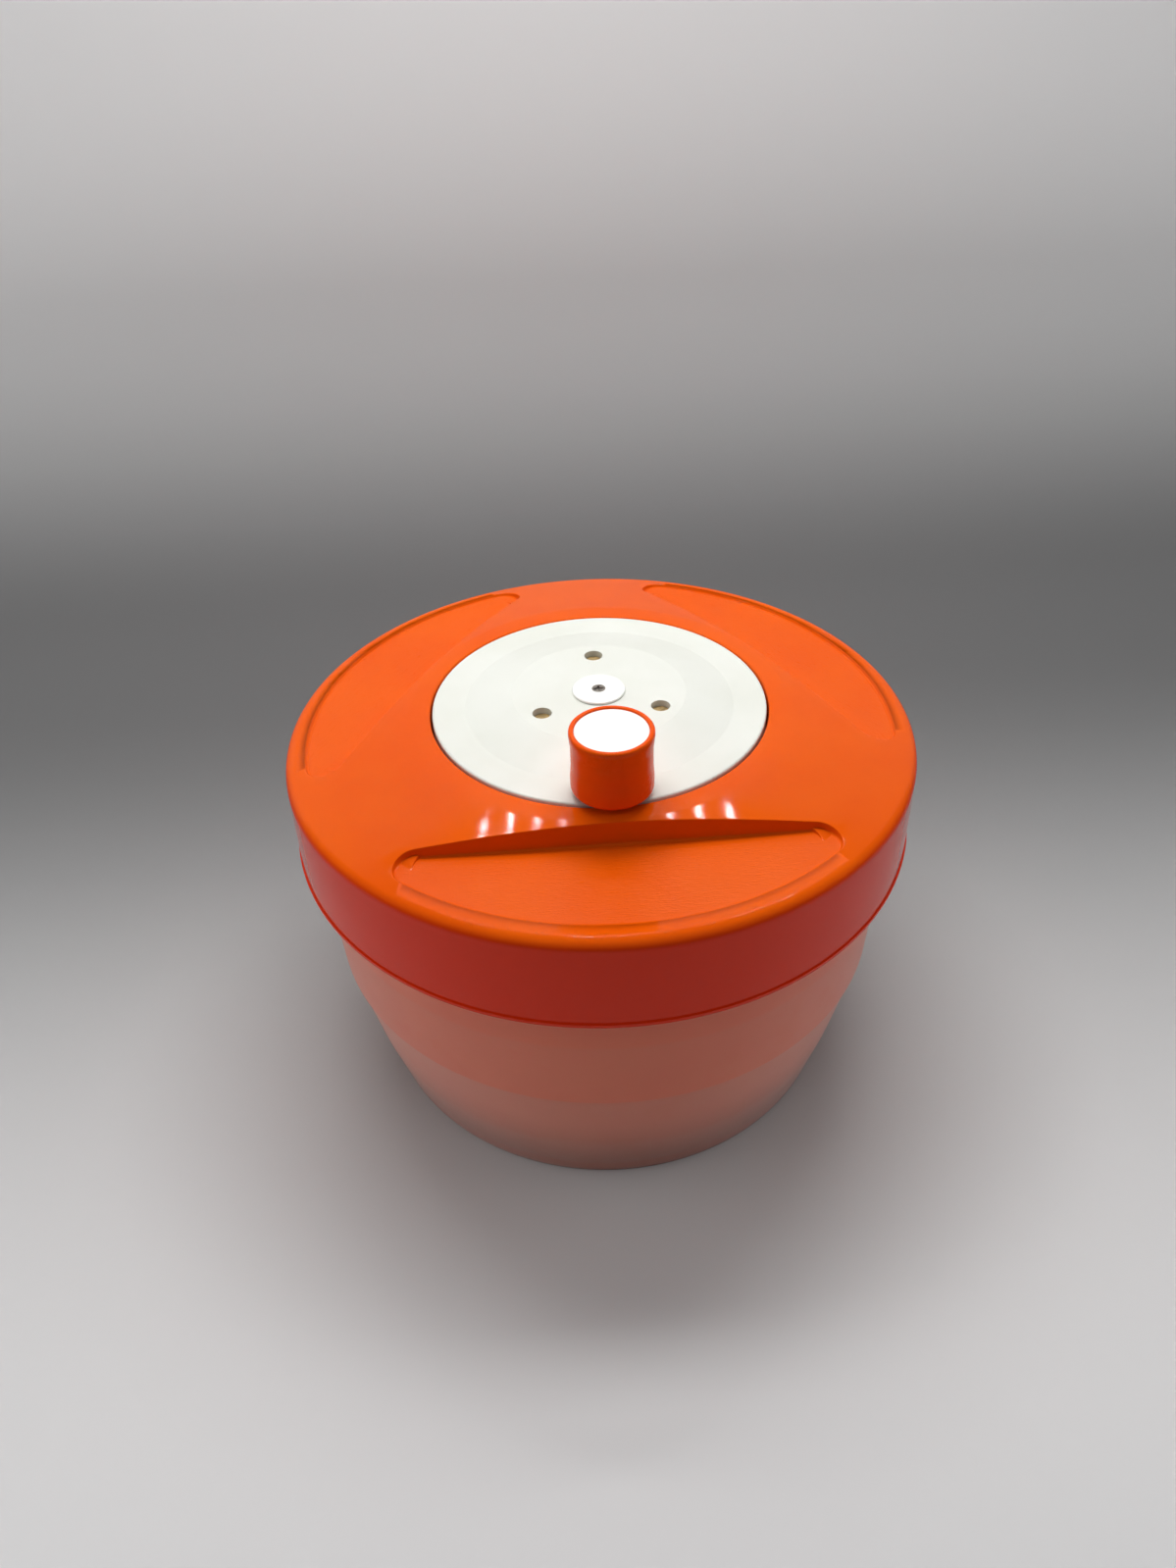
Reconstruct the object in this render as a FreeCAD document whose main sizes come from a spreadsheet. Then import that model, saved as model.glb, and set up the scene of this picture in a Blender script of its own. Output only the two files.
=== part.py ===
import FreeCAD, Part
import math
import os
import re
import Sketcher

# Salad spinner: a bowl, a basket that spins in it, and a lid with a geared crank.
# Millimetres, +Z up, the table at z = 0, everything centred on the spinner's own axis.
# The knob sits at the front, toward -Y.

os.makedirs("parts", exist_ok=True)
doc = FreeCAD.newDocument("salad_spinner")
sheet = doc.addObject("Spreadsheet::Sheet", "sizes")

SIZES = {
    # bowl: outer radii with the heights they sit at
    "foot_in": 95.5, "foot_out": 100.0, "foot_lift": 2.0,
    "bowl_low_r": 101.0, "bowl_low_z": 3.0,
    "bowl_mid_r": 107.4, "bowl_mid_z": 28.0,
    "ledge_r": 114.3, "ledge_z": 63.4, "ledge_step": 1.0,
    "neck_r": 119.2, "neck_z": 146.5,
    "bead_r": 121.0, "bead_z": 148.0, "bowl_top": 152.7,
    "bowl_wall": 2.2, "bowl_floor": 4.5,
    "bowl_boss_r": 9.0, "bowl_boss_top": 12.0, "bowl_corner": 6.0,
    # steel pin the basket turns on, and its bush
    "pivot_r": 3.0, "pivot_low": 6.0, "pivot_top": 20.0, "fit": 0.05,
    "bush_r": 8.0, "bush_low": 12.4, "bush_flange_r": 10.5, "bush_flange_top": 14.0, "bush_top": 22.0,
    # basket
    "basket_low": 14.3, "basket_wall": 2.2, "basket_floor_r": 93.5,
    "basket_mid_r": 104.0, "basket_mid_z": 97.0,
    "band_low_r": 109.3, "band_low_z": 99.5, "band_top_r": 110.8, "band_top_z": 141.0,
    "basket_lip_r": 112.3, "basket_top": 143.0,
    "basket_hub_r": 11.0, "basket_hub_top": 24.8,
    "wall_slots": 36, "wall_slot_w": 4.0, "wall_slot_h": 18.0, "wall_slot_gap": 5.0, "wall_slot_low": 26.0,
    "floor_slots": 24, "floor_slot_w": 3.5, "floor_slot_taper": 0.4,
    "floor_slot_in": 22.0, "floor_slot_mid": 50.0, "floor_slot_next": 55.0, "floor_slot_out": 82.0,
    "basket_corner_out": 8.0, "basket_corner_in": 6.0, "bush_room": 0.4, "pivot_room": 0.5,
    "drive_count": 6, "rib_thick": 2.6, "rib_in": 102.5, "rib_low": 118.0, "rib_top": 140.0,
    # lid
    "lid_wall": 2.5, "rim_r": 124.0, "rim_z": 154.8, "skirt_low_r": 124.2,
    "lip_r": 124.8, "lip_top": 118.9, "skirt_low": 116.5, "lid_round": 4.0,
    "ledge_in": 66.4, "ledge_out": 74.0, "lid_top": 165.5, "well_floor": 152.5, "well_under": 150.0,
    "seat_z": 153.0, "seat_in": 115.5, "guide_in": 113.0, "guide_low": 147.0,
    "bearing_r": 10.0, "bearing_low": 146.0, "shaft_r": 6.0,
    "recess_chord": 75.0, "recess_arc": 115.7, "recess_corner": 7.4, "recess_floor": 155.6,
    # gears
    "gear_module": 1.35, "sun_teeth": 15, "planet_teeth": 24, "ring_teeth": 63,
    "gear_low": 153.0, "gear_top": 161.5, "backlash": 0.2,
    "ring_r": 47.0, "ring_flange_r": 56.0, "ring_flange_top": 155.5,
    "ring_screw_at": 51.8, "ring_screw_r": 1.25, "ring_screw_head_r": 2.8, "ring_screw_head": 2.0,
    "ring_screw_room": 0.35, "ring_boss_wall": 0.9, "ring_slot_reach": 1.7, "ring_slot_w": 0.6,
    "sun_bore_low": 149.5, "sun_bore_end": 144.5, "orbit": 26.325,
    # crank disc
    "plateau_z": 170.6, "plateau_r": 34.2, "slope_r": 52.7, "disc_r": 65.6, "disc_z": 166.0,
    "disc_wall": 2.8, "disc_skirt": 2.2, "disc_skirt_low": 158.5,
    "disc_top_round": 1.5, "post_boss_r": 5.2,
    "disc_hub_r": 9.5, "disc_hub_low": 162.3, "journal_r": 7.0, "journal_top": 170.3,
    "pin_boss_r": 6.5, "pin_r": 3.75, "pin_top": 168.1, "pin_journal_r": 2.5, "pin_low": 153.4,
    # drive under the lid
    "square": 8.0, "square_low": 136.5, "square_top": 145.4, "screw_r": 1.5,
    "plate_under": 143.0, "plate_r": 99.5, "plate_edge_low": 139.5,
    "lug_out": 104.5, "lug_w": 12.0, "lug_low": 134.0, "lug_gap": 0.6,
    "plate_hole_r": 11.0, "plate_hole_at": 58.0, "plate_rim": 2.5, "plate_hub_r": 11.0, "plate_hub_foot": 13.0,
    "driver_washer_r": 7.5, "driver_washer_h": 1.0, "driver_head_r": 3.4, "driver_head_h": 2.2,
    "thrust_width": 1.3, "thrust_h": 0.5, "screw_slot_w": 0.7,
    "cap_r": 10.4, "cap_low": 170.9, "cap_top": 171.7, "screw_head_r": 2.7,
    "cap_sink": 1.2,
    # knob
    "knob_at": 58.5, "knob_r": 15.0, "knob_low": 168.2, "knob_top": 193.0, "knob_shelf": 184.0,
    "knob_bore_r": 7.0, "knob_bore_h": 12.0, "knob_foot": 2.1, "knob_waist": 0.5, "knob_rest_r": 9.0,
    "post_r": 4.0, "post_top": 184.3, "stem_r": 2.5, "stem_low": 157.5, "stem_foot": 1.4, "post_screw": 10.0,
    "knob_washer_r": 5.4, "knob_gap": 0.4, "knob_screw_head_r": 6.0, "knob_screw_head_h": 2.6,
    "knob_cap_r": 13.1, "knob_cap_low": 189.2, "knob_cap_top": 192.5,
    # roundings shared by many edges
    "fine_round": 0.4, "small_round": 0.5, "edge_round": 0.8, "rim_round": 0.9,
}
for row, (alias, value) in enumerate(SIZES.items(), 1):
    sheet.set("A%d" % row, alias)
    sheet.set("B%d" % row, str(value))
    sheet.setAlias("B%d" % row, alias)
sheet.set("B%d" % (list(SIZES).index("orbit") + 1), "=gear_module * (sun_teeth + planet_teeth) / 2")
doc.recompute()


def cell(text):
    """A formula in the words of the size table, ready for an expression."""
    return re.sub(r"[a-z_]\w*", lambda m: "sizes." + m.group() if m.group() in SIZES else m.group(), text)


def number(text):
    """The value of such a formula."""
    return float(sheet.evalExpression(cell(text)))


def part_body(name):
    body = doc.addObject("PartDesign::Body", name)
    body.Label = name
    return body


def origin_item(body, role):
    return [item for item in body.Origin.OriginFeatures if item.Role == role][0]


def new_sketch(body, name, role, height=None):
    sketch = body.newObject("Sketcher::SketchObject", name)
    sketch.AttachmentSupport = [(origin_item(body, role), "")]
    sketch.MapMode = "FlatFace"
    if height:
        sketch.setExpression("AttachmentOffset.Base.z", cell(height))
    return sketch


def pin_down(sketch, geometry, end, formulas):
    """Hold one end of a line at the place the two formulas give."""
    for kind, axis, formula in zip(("DistanceX", "DistanceY"), (-2, -1), formulas):
        value = number(formula)
        if abs(value) < 1e-9:
            sketch.addConstraint(Sketcher.Constraint("PointOnObject", geometry, end, axis))
        else:
            index = sketch.addConstraint(Sketcher.Constraint(kind, -1, 1, geometry, end, value))
            sketch.setExpression("Constraints[%d]" % index, cell(formula))


def add_loop(sketch, points):
    """A closed outline of straight lines through points given as pairs of formulas."""
    places = [FreeCAD.Vector(number(x), number(y), 0) for x, y in points]
    first = sketch.GeometryCount
    count = len(places)
    for i in range(count):
        sketch.addGeometry(Part.LineSegment(places[i], places[(i + 1) % count]), False)
    for i in range(count):
        sketch.addConstraint(Sketcher.Constraint("Coincident", first + i, 2, first + (i + 1) % count, 1))
    for i in range(count):
        pin_down(sketch, first + i, 1, points[i])


def add_circle(sketch, x, y, radius):
    centre = FreeCAD.Vector(number(x), number(y), 0)
    index = sketch.addGeometry(Part.Circle(centre, FreeCAD.Vector(0, 0, 1), number(radius)), False)
    pin_down(sketch, index, 3, (x, y))
    size = sketch.addConstraint(Sketcher.Constraint("Radius", index, number(radius)))
    sketch.setExpression("Constraints[%d]" % size, cell(radius))


def box_loop(x_low, x_high, y_low, y_high):
    return [(x_low, y_low), (x_high, y_low), (x_high, y_high), (x_low, y_high)]


def turn(body, name, points, kind="PartDesign::Revolution"):
    """Turn an outline of (radius, height) pairs once round the body's upright axis."""
    sketch = new_sketch(body, name + "_outline", "XZ_Plane")
    add_loop(sketch, points)
    feature = body.newObject(kind, name)
    feature.Profile = sketch
    feature.ReferenceAxis = (sketch, ["V_Axis"])
    feature.Angle = 360
    doc.recompute()
    return feature


def raise_up(body, name, sketch, length):
    feature = body.newObject("PartDesign::Pad", name)
    feature.Profile = sketch
    feature.setExpression("Length", cell(length))
    doc.recompute()
    return feature


def cut_down(body, name, sketch, depth, upward=False):
    feature = body.newObject("PartDesign::Pocket", name)
    feature.Profile = sketch
    feature.Reversed = upward
    feature.setExpression("Length", cell(depth))
    doc.recompute()
    return feature


def spread(body, feature, count):
    """Repeat a feature evenly round the body's upright axis."""
    pattern = body.newObject("PartDesign::PolarPattern", feature.Name + "_ring")
    pattern.Originals = [feature]
    pattern.Axis = (origin_item(body, "Z_Axis"), [""])
    pattern.Angle = 360
    pattern.setExpression("Occurrences", cell(count))
    body.Tip = pattern
    doc.recompute()
    return pattern


def soften(body, name, spots, radius, kind="PartDesign::Fillet"):
    """Round every circular edge that runs round the axis at the given (radius, height) places."""
    wanted = [(number(r), number(z)) for r, z in spots]
    base = body.Tip
    edges = []
    for i, edge in enumerate(base.Shape.Edges, 1):
        curve = edge.Curve
        if not isinstance(curve, Part.Circle) or math.hypot(curve.Center.x, curve.Center.y) > 1e-6:
            continue
        if any(abs(curve.Radius - r) < 0.01 and abs(curve.Center.z - z) < 0.01 for r, z in wanted):
            edges.append("Edge%d" % i)
    feature = body.newObject(kind, name)
    feature.Base = (base, edges)
    feature.setExpression("Radius" if kind.endswith("Fillet") else "Size", cell(radius))
    doc.recompute()
    return feature


def move_body(body, x, y):
    body.setExpression("Placement.Base.x", cell(x))
    body.setExpression("Placement.Base.y", cell(y))


# ---------------------------------------------------------------- bowl and its pivot
bowl = part_body("bowl")
turn(bowl, "bowl_shell", [
    ("0", "foot_lift"), ("foot_in", "foot_lift"), ("foot_in", "0"), ("foot_out", "0"),
    ("bowl_low_r", "bowl_low_z"), ("bowl_mid_r", "bowl_mid_z"), ("ledge_r", "ledge_z"),
    ("ledge_r + ledge_step", "ledge_z + ledge_step"), ("neck_r", "neck_z"),
    ("bead_r", "bead_z"), ("bead_r", "bowl_top"), ("neck_r - bowl_wall + 0.4", "bowl_top"),
    ("neck_r - bowl_wall", "neck_z"), ("ledge_r + ledge_step - bowl_wall", "ledge_z + 2.4"),
    ("ledge_r - bowl_wall", "ledge_z + 1"), ("bowl_mid_r - bowl_wall", "bowl_mid_z + 0.5"),
    ("bowl_low_r - bowl_wall + 0.4", "bowl_floor"),
    ("bowl_boss_r", "bowl_floor"), ("bowl_boss_r - 1", "bowl_boss_top"),
    ("pivot_r", "bowl_boss_top"), ("pivot_r", "pivot_low"), ("0", "pivot_low"),
])
soften(bowl, "bowl_inner_corner", [("bowl_low_r - bowl_wall + 0.4", "bowl_floor")], "bowl_corner")
soften(bowl, "bowl_rim_round", [
    ("bead_r", "bowl_top"), ("bead_r", "bead_z"), ("neck_r - bowl_wall + 0.4", "bowl_top"),
], "rim_round")
soften(bowl, "bowl_foot_round", [("foot_out", "0"), ("foot_in", "0")], "edge_round")
soften(bowl, "bowl_boss_round", [
    ("bowl_boss_r - 1", "bowl_boss_top"), ("bowl_boss_r", "bowl_floor"),
], "edge_round")

pivot_pin = part_body("pivot_pin")
turn(pivot_pin, "pivot_rod", box_loop("0", "pivot_r", "pivot_low", "pivot_top"))
soften(pivot_pin, "pivot_tip", [("pivot_r", "pivot_top")], "rim_round")

basket_bush = part_body("basket_bush")
turn(basket_bush, "bush_turned", [
    ("pivot_r + fit", "bush_low"), ("bush_flange_r", "bush_low"), ("bush_flange_r", "bush_flange_top"),
    ("bush_r", "bush_flange_top"), ("bush_r", "bush_top"), ("0", "bush_top"),
    ("0", "pivot_top + pivot_room"), ("pivot_r + fit", "pivot_top + pivot_room"),
])
soften(basket_bush, "bush_round", [
    ("bush_r", "bush_top"), ("bush_flange_r", "bush_flange_top"),
], "small_round")

# ---------------------------------------------------------------- basket
basket = part_body("basket")
turn(basket, "basket_shell", [
    ("bush_r + fit", "basket_low"), ("basket_floor_r", "basket_low"),
    ("basket_mid_r", "basket_mid_z"), ("band_low_r", "band_low_z"), ("band_top_r", "band_top_z"),
    ("basket_lip_r", "band_top_z"), ("basket_lip_r", "basket_top"), ("band_top_r - basket_wall", "basket_top"),
    ("band_low_r - basket_wall", "band_low_z + 1.5"), ("basket_mid_r - basket_wall", "basket_mid_z + 1.5"),
    ("basket_floor_r - basket_wall", "basket_low + basket_wall"),
    ("basket_hub_r + 1", "basket_low + basket_wall"), ("basket_hub_r", "basket_hub_top"),
    ("0", "basket_hub_top"), ("0", "bush_top + bush_room"), ("bush_r + fit", "bush_top + bush_room"),
])
soften(basket, "basket_corner", [("basket_floor_r", "basket_low")], "basket_corner_out")
soften(basket, "basket_inner_corner", [
    ("basket_floor_r - basket_wall", "basket_low + basket_wall"),
], "basket_corner_in")
soften(basket, "basket_edges", [
    ("basket_lip_r", "basket_top"), ("basket_lip_r", "band_top_z"), ("band_top_r - basket_wall", "basket_top"),
    ("basket_hub_r", "basket_hub_top"),
], "edge_round")
rib_sketch = new_sketch(basket, "drive_rib_outline", "XY_Plane", "rib_low")
for side in ("-1", "1"):
    near = side + " * (lug_w / 2 + lug_gap)"
    far = side + " * (lug_w / 2 + lug_gap + rib_thick)"
    low, high = (far, near) if side == "-1" else (near, far)
    add_loop(rib_sketch, box_loop("rib_in", "band_low_r - 1", low, high))
spread(basket, raise_up(basket, "drive_ribs", rib_sketch, "rib_top - rib_low"), "drive_count")
slot_sketch = new_sketch(basket, "wall_slot_outline", "YZ_Plane")
for tier in range(3):
    low = "wall_slot_low + %d * (wall_slot_h + wall_slot_gap)" % tier
    add_loop(slot_sketch, box_loop("-wall_slot_w / 2", "wall_slot_w / 2", low, low + " + wall_slot_h"))
spread(basket, cut_down(basket, "wall_slot", slot_sketch, "basket_lip_r + 10"), "wall_slots")
drain_sketch = new_sketch(basket, "floor_slot_outline", "XY_Plane", "basket_low + 5")
for start, end, half in (
    ("floor_slot_in", "floor_slot_mid", "(floor_slot_w / 2 - floor_slot_taper)"),
    ("floor_slot_next", "floor_slot_out", "floor_slot_w / 2"),
):
    add_loop(drain_sketch, box_loop(start, end, "-" + half, half))
spread(basket, cut_down(basket, "floor_slot", drain_sketch, "8"), "floor_slots")


# ---------------------------------------------------------------- lid
def recess_outline(body, name, height, grow):
    """Segment shape toward -Y: a straight side, a round side on the lid's axis and two round ends."""
    sketch = new_sketch(body, name, "XY_Plane", height)
    chord = number("recess_chord - " + grow)
    arc = number("recess_arc + " + grow)
    corner = number("recess_corner + " + grow)
    x = math.sqrt((arc - corner) ** 2 - (chord + corner) ** 2)
    up = FreeCAD.Vector(0, 0, 1)
    tip = math.atan2(-chord - corner, x)
    circle = Part.Circle(FreeCAD.Vector(x, -chord - corner, 0), up, corner)
    mirror = Part.Circle(FreeCAD.Vector(-x, -chord - corner, 0), up, corner)
    outer = Part.Circle(FreeCAD.Vector(0, 0, 0), up, arc)
    sketch.addGeometry(Part.LineSegment(FreeCAD.Vector(x, -chord, 0), FreeCAD.Vector(-x, -chord, 0)), False)
    sketch.addGeometry(Part.ArcOfCircle(mirror, math.pi / 2, math.pi - tip), False)
    sketch.addGeometry(Part.ArcOfCircle(outer, math.pi - tip, 2 * math.pi + tip), False)
    sketch.addGeometry(Part.ArcOfCircle(circle, tip, math.pi / 2), False)
    for a, b in ((0, 1), (1, 2), (2, 3), (3, 0)):
        sketch.addConstraint(Sketcher.Constraint("Tangent", a, 2, b, 1))
    sketch.addConstraint(Sketcher.Constraint("Coincident", 2, 3, -1, 1))
    sketch.addConstraint(Sketcher.Constraint("Equal", 1, 3))
    sketch.addConstraint(Sketcher.Constraint("Horizontal", 0))
    for args, formula in (
        (("DistanceY", -1, 1, 0, 1, -chord), "-(recess_chord - %s)" % grow),
        (("Radius", 2, arc), "recess_arc + " + grow),
        (("Radius", 1, corner), "recess_corner + " + grow),
    ):
        index = sketch.addConstraint(Sketcher.Constraint(*args))
        sketch.setExpression("Constraints[%d]" % index, cell(formula))
    return sketch


CONE = "lid_top - (%s - ledge_out) * (lid_top - rim_z) / (rim_r - ledge_out)"
lid = part_body("lid")
pan = raise_up(lid, "recess_pan", recess_outline(lid, "pan_outline", "seat_z", "lid_wall"), "12")
spread(lid, pan, "3")
turn(lid, "pan_trim", [
    ("60", "lid_top - 1.2"), ("ledge_out", "lid_top - 1.2"), ("rim_r", "rim_z - 1.2"),
    ("rim_r", "lid_top + 5"), ("60", "lid_top + 5"),
], "PartDesign::Groove")
turn(lid, "lid_shell", [
    ("shaft_r + fit", "bearing_low"), ("bearing_r", "bearing_low"), ("bearing_r", "well_under"),
    ("ledge_in + lid_wall", "well_under"), ("ledge_in + lid_wall", "lid_top - lid_wall"),
    ("ledge_out", "lid_top - lid_wall"), ("guide_in", CONE % "guide_in" + " - lid_wall"),
    ("guide_in", "guide_low"), ("seat_in", "guide_low"), ("seat_in", "seat_z"),
    ("rim_r - lid_wall", "seat_z"), ("lip_r - lid_wall", "skirt_low"),
    ("lip_r", "skirt_low"), ("lip_r", "lip_top - 0.6"), ("skirt_low_r", "lip_top"),
    ("rim_r", "rim_z"), ("ledge_out", "lid_top"), ("ledge_in", "lid_top"),
    ("ledge_in", "well_floor"), ("shaft_r + fit", "well_floor"),
])
soften(lid, "lid_edge", [("rim_r", "rim_z")], "lid_round")
soften(lid, "lid_small_edges", [
    ("ledge_in", "lid_top"), ("lip_r", "skirt_low"), ("bearing_r", "bearing_low"),
], "rim_round")
scoop = cut_down(lid, "recess", recess_outline(lid, "recess_shape", "lid_top + 3", "0"), "lid_top + 3 - recess_floor")
spread(lid, scoop, "3")
boss_sketch = new_sketch(lid, "ring_screw_boss_outline", "XY_Plane", "bearing_low")
add_circle(boss_sketch, "ring_screw_at", "0", "ring_screw_head_r + ring_boss_wall")
spread(lid, raise_up(lid, "ring_screw_boss", boss_sketch, "well_under - bearing_low + 1"), "3")
hole_sketch = new_sketch(lid, "ring_screw_hole_outline", "XY_Plane", "well_floor")
add_circle(hole_sketch, "ring_screw_at", "0", "ring_screw_r")
spread(lid, cut_down(lid, "ring_screw_hole", hole_sketch, "well_floor - bearing_low - 1"), "3")


# ---------------------------------------------------------------- gears
def toothed_face(teeth, above, below, thickness, turned):
    """Flat outline of a spur gear with involute flanks, one tooth centred at the angle 'turned'."""
    pitch = number("gear_module") * teeth / 2
    base = pitch * math.cos(math.radians(20))
    root = pitch - below
    tip = pitch + above
    start = max(base, root)

    def half(radius):
        slant = math.acos(min(1.0, base / radius))
        return thickness / (2 * pitch) + math.tan(math.radians(20)) - math.radians(20) - math.tan(slant) + slant

    def spot(radius, angle):
        return FreeCAD.Vector(radius * math.cos(angle), radius * math.sin(angle), 0)

    steps = [start + (tip - start) * k / 3 for k in range(4)]
    edges = []
    for k in range(teeth):
        middle = math.radians(turned) + 2 * math.pi * k / teeth
        rising = [spot(r, middle - half(r)) for r in steps]
        falling = [spot(r, middle + half(r)) for r in reversed(steps)]
        ahead = spot(root, middle + 2 * math.pi / teeth - half(start))
        if root < start - 1e-6:
            edges.append(Part.LineSegment(spot(root, middle - half(start)), rising[0]).toShape())
        flank = Part.BSplineCurve()
        flank.interpolate(rising)
        edges.append(flank.toShape())
        edges.append(Part.LineSegment(rising[-1], falling[0]).toShape())
        flank = Part.BSplineCurve()
        flank.interpolate(falling)
        edges.append(flank.toShape())
        if root < start - 1e-6:
            edges.append(Part.LineSegment(falling[-1], spot(root, middle + half(start))).toShape())
        edges.append(Part.LineSegment(spot(root, middle + half(start)), ahead).toShape())
    return Part.Face(Part.Wire(edges))


def rod(radius, low, high):
    return Part.makeCylinder(radius, high - low, FreeCAD.Vector(0, 0, low))


def made_shape(name, shape):
    item = doc.addObject("Part::Feature", name)
    item.Label = name
    item.Shape = shape
    return item


def cross_outline(body, height, reach, half="screw_slot_w / 2", at="0"):
    """Plus-shaped screw slot: arms that reach out from a middle on the X axis."""
    corners = [
        (-1, -1, reach, half), (-1, -1, half, half), (-1, -1, half, reach), (1, -1, half, reach),
        (1, -1, half, half), (1, -1, reach, half), (1, 1, reach, half), (1, 1, half, half),
        (1, 1, half, reach), (-1, 1, half, reach), (-1, 1, half, half), (-1, 1, reach, half),
    ]
    sketch = new_sketch(body, body.Name + "_cross_outline", "XY_Plane", height)
    add_loop(sketch, [("%s + %d * %s" % (at, sx, x), "%d * %s" % (sy, y)) for sx, sy, x, y in corners])
    return sketch


MODULE = number("gear_module")
GEAR_LOW = number("gear_low")
GEAR_TOP = number("gear_top")
TALL = FreeCAD.Vector(0, 0, GEAR_TOP - GEAR_LOW)
TOOTH = math.pi * MODULE / 2 - number("backlash")
ADDENDUM = 0.9 * MODULE
DEDENDUM = 1.15 * MODULE
ORBIT = number("orbit")

planet_face = toothed_face(int(number("planet_teeth")), ADDENDUM, DEDENDUM, TOOTH, 3.75)
planet_shape = planet_face.extrude(TALL).cut(rod(number("pin_journal_r + fit"), -1, 20))
for index, angle in enumerate((90, -30, 210), 1):
    planet = made_shape("planet_gear_%d" % index, planet_shape.copy())
    planet.Placement = FreeCAD.Placement(
        FreeCAD.Vector(ORBIT * math.cos(math.radians(angle)), ORBIT * math.sin(math.radians(angle)), GEAR_LOW),
        FreeCAD.Rotation(),
    )
    pin = part_body("planet_pin_%d" % index)
    turn(pin, "pin_%d_turned" % index, [
        ("0", "pin_low"), ("pin_journal_r", "pin_low"), ("pin_journal_r", "disc_hub_low"),
        ("pin_r", "disc_hub_low"), ("pin_r", "pin_top"), ("0", "pin_top"),
    ])
    soften(pin, "pin_%d_tip" % index, [
        ("pin_r", "pin_top"), ("pin_journal_r", "pin_low"),
    ], "fine_round", "PartDesign::Chamfer")
    move_body(pin, "orbit * cos(%d deg)" % angle, "orbit * sin(%d deg)" % angle)

ring_teeth = int(number("ring_teeth"))
ring_hole = toothed_face(ring_teeth, DEDENDUM, ADDENDUM, math.pi * MODULE - TOOTH, 0)
ring_space = ring_hole.extrude(TALL + FreeCAD.Vector(0, 0, 2))
ring_space.translate(FreeCAD.Vector(0, 0, number("well_floor - 0.5")))
ring_shape = rod(number("ring_r"), number("well_floor"), GEAR_TOP)
ring_shape = ring_shape.fuse(rod(number("ring_flange_r"), number("well_floor"), number("ring_flange_top")))
ring_shape = ring_shape.cut(ring_space)
for step in range(3):
    drill = rod(number("ring_screw_r + ring_screw_room"), number("well_under"), GEAR_TOP)
    drill.translate(FreeCAD.Vector(number("ring_screw_at"), 0, 0))
    drill.rotate(FreeCAD.Vector(0, 0, 0), FreeCAD.Vector(0, 0, 1), 120 * step)
    ring_shape = ring_shape.cut(drill)
made_shape("ring_gear", ring_shape.removeSplitter())

sun_face = toothed_face(int(number("sun_teeth")), ADDENDUM, DEDENDUM, TOOTH, 0)
sun_shape = sun_face.extrude(TALL)
sun_shape.translate(FreeCAD.Vector(0, 0, GEAR_LOW))
half_square = number("square / 2")
square_shape = Part.makeBox(
    2 * half_square, 2 * half_square, number("square_top - square_low"),
    FreeCAD.Vector(-half_square, -half_square, number("square_low")),
)
sun_shape = sun_shape.fuse([
    rod(number("journal_r"), GEAR_TOP, number("journal_top")),
    rod(number("shaft_r"), number("square_top"), GEAR_LOW),
    square_shape,
])
sun_shape = sun_shape.cut(rod(number("screw_r"), number("sun_bore_low"), number("cap_top")))
sun_shape = sun_shape.cut(rod(number("screw_r"), number("lug_low"), number("sun_bore_end")))
made_shape("sun_gear", sun_shape.removeSplitter())

ring_screws = part_body("ring_gear_screws")
shank_sketch = new_sketch(ring_screws, "ring_shank_outline", "XY_Plane", "bearing_low + 1")
add_circle(shank_sketch, "ring_screw_at", "0", "ring_screw_r")
shank = raise_up(ring_screws, "ring_shank", shank_sketch, "ring_flange_top - bearing_low - 1")
head_sketch = new_sketch(ring_screws, "ring_head_outline", "XY_Plane", "ring_flange_top")
add_circle(head_sketch, "ring_screw_at", "0", "ring_screw_head_r")
head = raise_up(ring_screws, "ring_head", head_sketch, "ring_screw_head")
drive_sketch = cross_outline(
    ring_screws, "ring_flange_top + ring_screw_head", "ring_slot_reach", "ring_slot_w / 2", "ring_screw_at",
)
cross = cut_down(ring_screws, "ring_cross", drive_sketch, "1")
pattern = ring_screws.newObject("PartDesign::PolarPattern", "ring_screws_spread")
pattern.Originals = [shank, head, cross]
pattern.Axis = (origin_item(ring_screws, "Z_Axis"), [""])
pattern.Angle = 360
pattern.Occurrences = 3
ring_screws.Tip = pattern
doc.recompute()

# ---------------------------------------------------------------- crank disc
crank_disc = part_body("crank_disc")
turn(crank_disc, "disc_turned", [
    ("journal_r + fit", "disc_hub_low"), ("disc_hub_r", "disc_hub_low"), ("disc_hub_r", "plateau_z - disc_wall"),
    ("plateau_r - 0.4", "plateau_z - disc_wall"), ("slope_r - 0.4", "disc_z - disc_wall"),
    ("disc_r - disc_skirt", "disc_z - disc_wall"), ("disc_r - disc_skirt", "disc_skirt_low"),
    ("disc_r", "disc_skirt_low"), ("disc_r", "disc_z"), ("slope_r", "disc_z"),
    ("plateau_r", "plateau_z"), ("journal_r + fit", "plateau_z"),
])
soften(crank_disc, "disc_rim_round", [("disc_r", "disc_z")], "rim_round")
soften(crank_disc, "disc_slope_round", [("slope_r", "disc_z"), ("plateau_r", "plateau_z")], "disc_top_round")
disc_boss_sketch = new_sketch(crank_disc, "pin_boss_outline", "XY_Plane", "disc_hub_low")
add_circle(disc_boss_sketch, "0", "orbit", "pin_boss_r")
pin_boss = raise_up(crank_disc, "pin_boss", disc_boss_sketch, "plateau_z - disc_wall - disc_hub_low + 0.5")
spread(crank_disc, pin_boss, "3")
pin_hole_sketch = new_sketch(crank_disc, "pin_hole_outline", "XY_Plane", "plateau_z + 1")
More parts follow.
